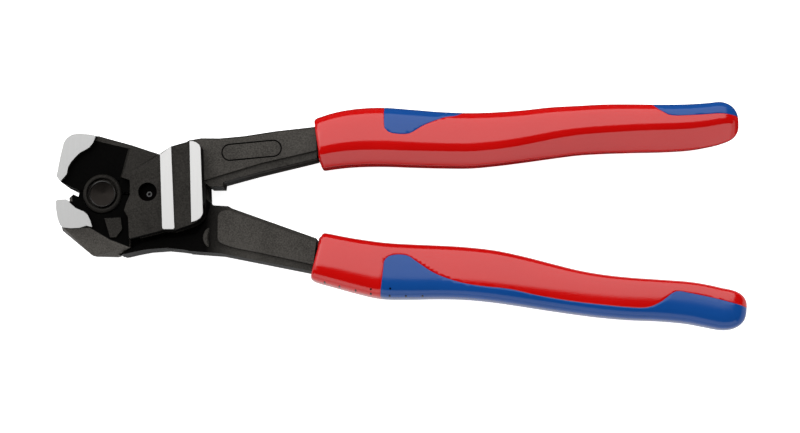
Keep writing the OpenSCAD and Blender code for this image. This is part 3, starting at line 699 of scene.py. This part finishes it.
def place_on_grip(grip, spot, step, size=1.0, shift=0.0):
    """A point of the grip in metres, from its station and its step round the section."""
    over = step <= SIDE_STEPS
    side_step = step if over else 2 * SIDE_STEPS - step
    here = max(0.0, min(1.0, spot))
    half_w, half_d = flow(grip["half_width"], here) * HALF_W, flow(grip["half_depth"], here) * HALF_D
    crease = flow(grip["crease"], here) if "crease" in grip else None
    across, depth = half_section(side_step, flow(grip["crest"], here), crease, grip["roll"],
                                 FACET_FALL * half_w / half_d)
    y = flow(grip["middle"], here) * HALF_W + grip["outer"] * across * half_w * size
    z = depth * half_d * size * (1 if over else -1)
    top, bottom = grip["lean"]
    lean = (bottom + (top - bottom) * (y / HALF_W + 1) / 2) * max(0.0, 1 - here * LEAN_FADE)
    x = here * grip["length"] + shift + lean
    slope = math.radians(grip["slope"])
    from_pivot = grip["front"] + Vector((x * math.cos(slope) - y * math.sin(slope),
                                         x * math.sin(slope) + y * math.cos(slope)))
    return JAW_PIVOT + Vector((from_pivot.x, from_pivot.y, z)) * MM


print("points round a grip:", 2 * SIDE_STEPS)

# %% [markdown]
# ## Lofting a grip
# The first ring is a circle that takes the section's shape. Each further ring is extruded from the last one and
# placed at its own station, so the rings stay joined. The front lip turns in to a mouth round the steel arm,
# and the last rings close along a curve that is a little squarer than a quarter circle, which makes the
# rounded end.

# %% Lofting a grip
RING = 2 * SIDE_STEPS
LIP_INSIDE, LIP_LENGTH = 0.88, 0.9
LIP_RINGS = ((0.93, 0), (0.965, 0.1), (0.989, 0.4))
BODY_STATIONS, END_STATIONS = 96, 12
END_SPOT, END_ROLL, END_TURN = 0.94, 2.6, 87


def extruded(shape, edges, place):
    """Extrudes a ring of edges, puts each new point where place(point) says and gives the new ring."""
    made = bmesh.ops.extrude_edge_only(shape, edges=edges)["geom"]
    points = {item for item in made if isinstance(item, bmesh.types.BMVert)}
    for point in points:
        point.co = place(point)
    return [item for item in made if isinstance(item, bmesh.types.BMEdge) and set(item.verts) <= points]


def loft_grip(grip):
    """The closed body of a grip but for its front, and the ring of edges there."""
    shape = bmesh.new()
    steps = shape.verts.layers.int.new("step")
    first = bmesh.ops.create_circle(shape, segments=RING, radius=1)["verts"]
    for step, point in enumerate(first):
        point[steps] = step
        point.co = place_on_grip(grip, 0, step, LIP_INSIDE)
    lip = LIP_LENGTH / grip["length"]
    stations = [(0, size, shift) for size, shift in LIP_RINGS]
    stations += [(lip + k * (END_SPOT - lip) / BODY_STATIONS, 1, 0) for k in range(BODY_STATIONS + 1)]
    for k in range(1, END_STATIONS + 1):
        along = math.sin(math.radians(END_TURN) * k / END_STATIONS)
        stations.append((END_SPOT + (1 - END_SPOT) * along, (1 - along ** END_ROLL) ** (1 / END_ROLL), 0))
    edges = front = list({edge for point in first for edge in point.link_edges})
    for spot, size, shift in stations:
        edges = extruded(shape, edges, lambda point: place_on_grip(grip, spot, point[steps], size, shift))
    bmesh.ops.edgeloop_fill(shape, edges=edges)
    return shape, front


print("rings along a grip:", len(LIP_RINGS) + BODY_STATIONS + END_STATIONS + 2)

# %% [markdown]
# ## The line between the colours
# The blue is moulded round the red, and its edge is a flowing line. A boolean would leave long thin faces. Here
# the line's distance is known at every point, so each edge that it crosses is split right on the line, and the
# new points are joined. Doing this at three distances gives two narrow strips, and the middle line is then
# sunk to make the fine seam.

# %% The line between the colours
SEAM_HALF, SEAM_DEPTH, SEAM_TOUCH = 0.16, 0.13, 0.04
ON_LINE = 0.03
LINE_STEPS = 6
FAR_OFF = 1e9


def smooth_line(corners):
    """A closed outline through the corners, rounded except where a corner is marked as sharp."""
    line = []
    for k, (here, sharp) in enumerate(corners):
        before, after = corners[k - 1], corners[(k + 1) % len(corners)]
        beyond = corners[(k + 2) % len(corners)]
        leave = Vector((0, 0)) if sharp else (after[0] - before[0]) / 2
        arrive = Vector((0, 0)) if after[1] else (beyond[0] - here) / 2
        line += [eased(here, after[0], leave, arrive, j / LINE_STEPS) for j in range(LINE_STEPS)]
    return line


def beside(line, point):
    """Distance from a closed line in the plane, positive inside it."""
    inside, nearest = False, FAR_OFF
    for a, b in zip(line, line[1:] + line[:1]):
        side = b - a
        share = max(0.0, min(1.0, (point - a).dot(side) / (side.length_squared or 1)))
        nearest = min(nearest, (point - a - side * share).length)
        if (a.y > point.y) != (b.y > point.y):
            if point.x < a.x + side.x * (point.y - a.y) / side.y:
                inside = not inside
    return nearest if inside else -nearest


def grip_plane(grip, point):
    """A point's place along and across a grip, in millimetres from the middle of its front."""
    flat = (point - JAW_PIVOT).xy / MM - grip["front"]
    slope = math.radians(grip["slope"])
    return Vector((flat.x * math.cos(slope) + flat.y * math.sin(slope),
                   flat.y * math.cos(slope) - flat.x * math.sin(slope)))


def score(shape, away, level):
    """Splits every edge that crosses the level of the distance layer and joins the new points."""
    on_line = set()
    for edge in list(shape.edges):
        a, b = edge.verts
        here, there = a[away] - level, b[away] - level
        if abs(here) < ON_LINE:
            on_line.add(a)
        if abs(there) < ON_LINE:
            on_line.add(b)
        if here * there < 0 and min(abs(here), abs(there)) >= ON_LINE:
            _, made = bmesh.utils.edge_split(edge, a, here / (here - there))
            made[away] = level
            on_line.add(made)
    bmesh.ops.connect_verts(shape, verts=list(on_line))


def split_colours(grip, shape, outlines):
    """Scores the seams into a lofted grip and gives the faces that lie inside the outlines."""
    away = shape.verts.layers.float.new("away")
    lines = [smooth_line([(Vector((x * grip["length"], y * HALF_W)), sharp) for x, y, sharp in outline])
             for outline in outlines]
    for point in shape.verts:
        flat = grip_plane(grip, point.co)
        point[away] = max(beside(line, flat) for line in lines)
    for level in (-SEAM_HALF, 0, SEAM_HALF):
        score(shape, away, level)
    shape.normal_update()
    for point in shape.verts:
        if abs(point[away]) < SEAM_TOUCH:
            point.co -= point.normal * SEAM_DEPTH * MM
    return [face for face in shape.faces
            if sum(point[away] for point in face.verts) / len(face.verts) > 0]


print("seam in mm:", 2 * SEAM_HALF, "wide,", SEAM_DEPTH, "deep")

# %% [markdown]
# ## Both grips as pieces
# Each grip is lofted once and then parted into its red shell and its blue inlays. Every part gets a short wall
# inwards along the seam, so that no open edge shows, and the shell gets a mouth that fits round the arm. In the
# outlines each corner is a place along and across the grip, and 1 marks a sharp one.

# %% Both grips as pieces
UPPER_FRONT_INLAY = ((.1655, 1.6, 1), (.163, .42, 0), (.169, .24, 0), (.184, .135, 0), (.221, .1, 0),
                     (.257, .37, 0), (.308, .63, 0), (.345, .74, 0), (.42, 1.6, 1))
UPPER_REAR_INLAY = ((.775, 1.6, 1), (.799, .67, 0), (.822, .34, 0), (.845, .19, 0), (.91, .17, 0),
                    (.955, .18, 0), (.985, .12, 0), (1.03, .02, 1), (1.03, 1.6, 1))
LOWER_INLAY = ((.161, -1.6, 1), (.162, -.3, 0), (.163, .15, 0), (.178, .35, 0), (.212, .4, 0), (.239, .2, 0),
               (.274, -.07, 0), (.309, -.23, 0), (.352, -.34, 0), (.402, -.37, 0), (.451, -.36, 0),
               (.519, -.47, 0), (.592, -.54, 0), (.665, -.55, 0), (.738, -.53, 0), (.774, -.46, 0),
               (.799, -.25, 0), (.813, -.06, 0), (.827, .14, 0), (.842, .21, 0), (.865, .18, 0),
               (.911, .12, 0), (.958, .03, 0), (1.03, -.13, 1), (1.03, -1.6, 1))
WALL = 0.9
MOUTH_HALF_WIDE, MOUTH_HALF_DEEP, MOUTH_ROLL = 5.6, 6.4, 5
MOUTH_START, MOUTH_END = 0.25, 5.25


def wall_inwards(shape, skip=()):
    """Gives every open edge, apart from those to skip, a short wall along the inward normal."""
    shape.normal_update()
    rim = [edge for edge in shape.edges if edge.is_boundary and edge not in skip]
    for edge in rim:
        edge.smooth = False
    inward = {tuple(point.co): point.normal.copy() for edge in rim for point in edge.verts}
    extruded(shape, rim, lambda point: point.co - inward[tuple(point.co)] * WALL * MM)


def mouth_point(grip, step, depth):
    """A point of the opening round the arm, on a soft box this deep behind the grip's front."""
    turn = math.radians(360) * step / RING
    across, up = -math.cos(turn), math.sin(turn)
    size = (abs(across) ** MOUTH_ROLL + abs(up) ** MOUTH_ROLL) ** (-1 / MOUTH_ROLL)
    middle = place_on_grip(grip, 0, 0, 0)
    slope = math.radians(grip["slope"])
    along = Vector((math.cos(slope), math.sin(slope), 0))
    over = Vector((-math.sin(slope), math.cos(slope), 0))
    return middle + (along * depth + over * grip["outer"] * across * size * MOUTH_HALF_WIDE
                     + Vector((0, 0, up * size * MOUTH_HALF_DEEP))) * MM


def make_grip(name, grip, outlines, body, shell_node, inlay_node):
    shape, front = loft_grip(grip)
    bmesh.ops.recalc_face_normals(shape, faces=shape.faces)
    blue_faces = split_colours(grip, shape, outlines)
    smoothed(shape)
    # The copy numbers the faces of both meshes alike, so the numbers are read after it.
    inlay = shape.copy()
    blue = {face.index for face in blue_faces}
    for part, unwanted in ((inlay, False), (shape, True)):
        faces = [face for face in part.faces if (face.index in blue) == unwanted]
        bmesh.ops.delete(part, geom=faces, context="FACES")
    wall_inwards(inlay)
    front = [edge for edge in front if edge.is_valid and edge.is_boundary]
    wall_inwards(shape, set(front))
    steps = shape.verts.layers.int["step"]
    for depth in (MOUTH_START, MOUTH_END):
        front = extruded(shape, front, lambda point: mouth_point(grip, point[steps], depth))
    inlay_piece = new_piece(name + "_inlay_dressed", inlay, blue_finish)
    hand_over(inlay_piece, body, (inlay_node,))
    shell_piece = new_piece(name + "_shell_dressed", shape, red_finish)
    hand_over(shell_piece, body, (shell_node,))


make_grip("upper_grip", UPPER, (UPPER_FRONT_INLAY, UPPER_REAR_INLAY), "upper_lever", "upper_grip_shell",
          "upper_grip_inlays")
make_grip("lower_grip", LOWER, (LOWER_INLAY,), "lower_lever", "lower_grip_shell", "lower_grip_inlay")

# %% [markdown]
# ## The studio
# A white floor, one very broad light that leans in from beyond the upper grip, a low strip on the near side and
# a card beyond the jaws. Between the broad light and the strip lies a dark gap. Glossy plastic shows that gap
# as the deep red line along each grip, and it keeps the blackened steel dark. An environment picture could
# light the tool too, but its lights couldn't be moved one by one. A white floor also mirrors in every steep
# wall. In a real studio a black cloth stops that, and here the floor turns dark for glossy rays, fully beyond
# the jaw pivot and about half on the near side. The air gives a soft fill, and the lens sees it as plain white.

# %% The studio
FLOOR_REACH = 6
FLOOR_TONE, FLOOR_ROUGHNESS, FLOOR_GLOW = 0.6, 0.95, 0.85
CLOTH_TONE, CLOTH_EDGE_Y = 0.02, -0.16
CLOTH_NEAR, CLOTH_BEYOND = 0.55, 0.45
AIR_FILL = 0.55


def make_floor():
    shape = bmesh.new()
    bmesh.ops.create_grid(shape, x_segments=1, y_segments=1, size=FLOOR_REACH)
    paper = Finish("floor_paper")
    paper.surface(Base_Color=grey(FLOOR_TONE), Roughness=FLOOR_ROUGHNESS, Emission_Color=grey(1),
                  Emission_Strength=FLOOR_GLOW, Specular_IOR_Level=0)
    by_gloss = Value(paper, paper.tree.nodes.new("ShaderNodeLightPath").outputs["Is Glossy Ray"])
    y = paper.axes()[1]
    cloth = by_gloss * (y > CLOTH_EDGE_Y) * (CLOTH_NEAR + (y > 0) * CLOTH_BEYOND)
    dark = paper.node("ShaderNodeBsdfDiffuse", {}, {"Color": grey(CLOTH_TONE)})[0]
    white = Value(paper, paper.shader.outputs[0])
    both = paper.node("ShaderNodeMixShader", {}, {0: cloth, 1: white, 2: dark})[0]
    paper.feed(paper.tree.nodes["Material Output"].inputs["Surface"], both)
    floor = new_piece("floor", shape, paper.material)


def make_light(name, tilt, distance, size, radiance, side=0.0):
    """A rectangular light that faces the tool's middle, tilted towards Y and swung aside, in degrees."""
    data = bpy.data.lights.new(name, "AREA")
    data.shape = "RECTANGLE"
    data.size, data.size_y = size
    data.energy = radiance * math.pi * size[0] * size[1]
    light = bpy.data.objects.new(name, data)
    scene.collection.objects.link(light)
    lean, swing = math.radians(tilt), math.radians(side)
    away = Vector((math.sin(swing), math.cos(swing) * math.sin(lean), math.cos(swing) * math.cos(lean)))
    light.location = SIGHT_POINT + away * distance
    light.rotation_mode = "QUATERNION"
    light.rotation_quaternion = away.to_track_quat("Z", "Y")
    print(name, "at", [round(v, 2) for v in light.location])


def make_world():
    """White air: a soft fill for diffuse rays, full white for the camera and nothing for the rest."""
    world = bpy.data.worlds.new("studio_air")
    world.use_nodes = True
    nodes, links = world.node_tree.nodes, world.node_tree.links
    air = nodes["Background"]
    air.inputs["Color"].default_value = grey(1)
    ray = nodes.new("ShaderNodeLightPath")
    fill = nodes.new("ShaderNodeMath")
    fill.operation = "MULTIPLY_ADD"
    fill.inputs[1].default_value = AIR_FILL
    links.new(ray.outputs["Is Diffuse Ray"], fill.inputs[0])
    links.new(ray.outputs["Is Camera Ray"], fill.inputs[2])
    links.new(fill.outputs[0], air.inputs["Strength"])
    scene.world = world


make_floor()
make_world()
make_light("broad_light", tilt=37, distance=1.2, size=(2.4, 1.78), radiance=2.6)
make_light("near_strip", tilt=-76, distance=1.0, size=(2.4, 0.5), radiance=1.7)
make_light("left_card", tilt=10, distance=0.9, size=(0.7, 0.9), radiance=1.2, side=-58)
scene.view_settings.view_transform = "Standard"
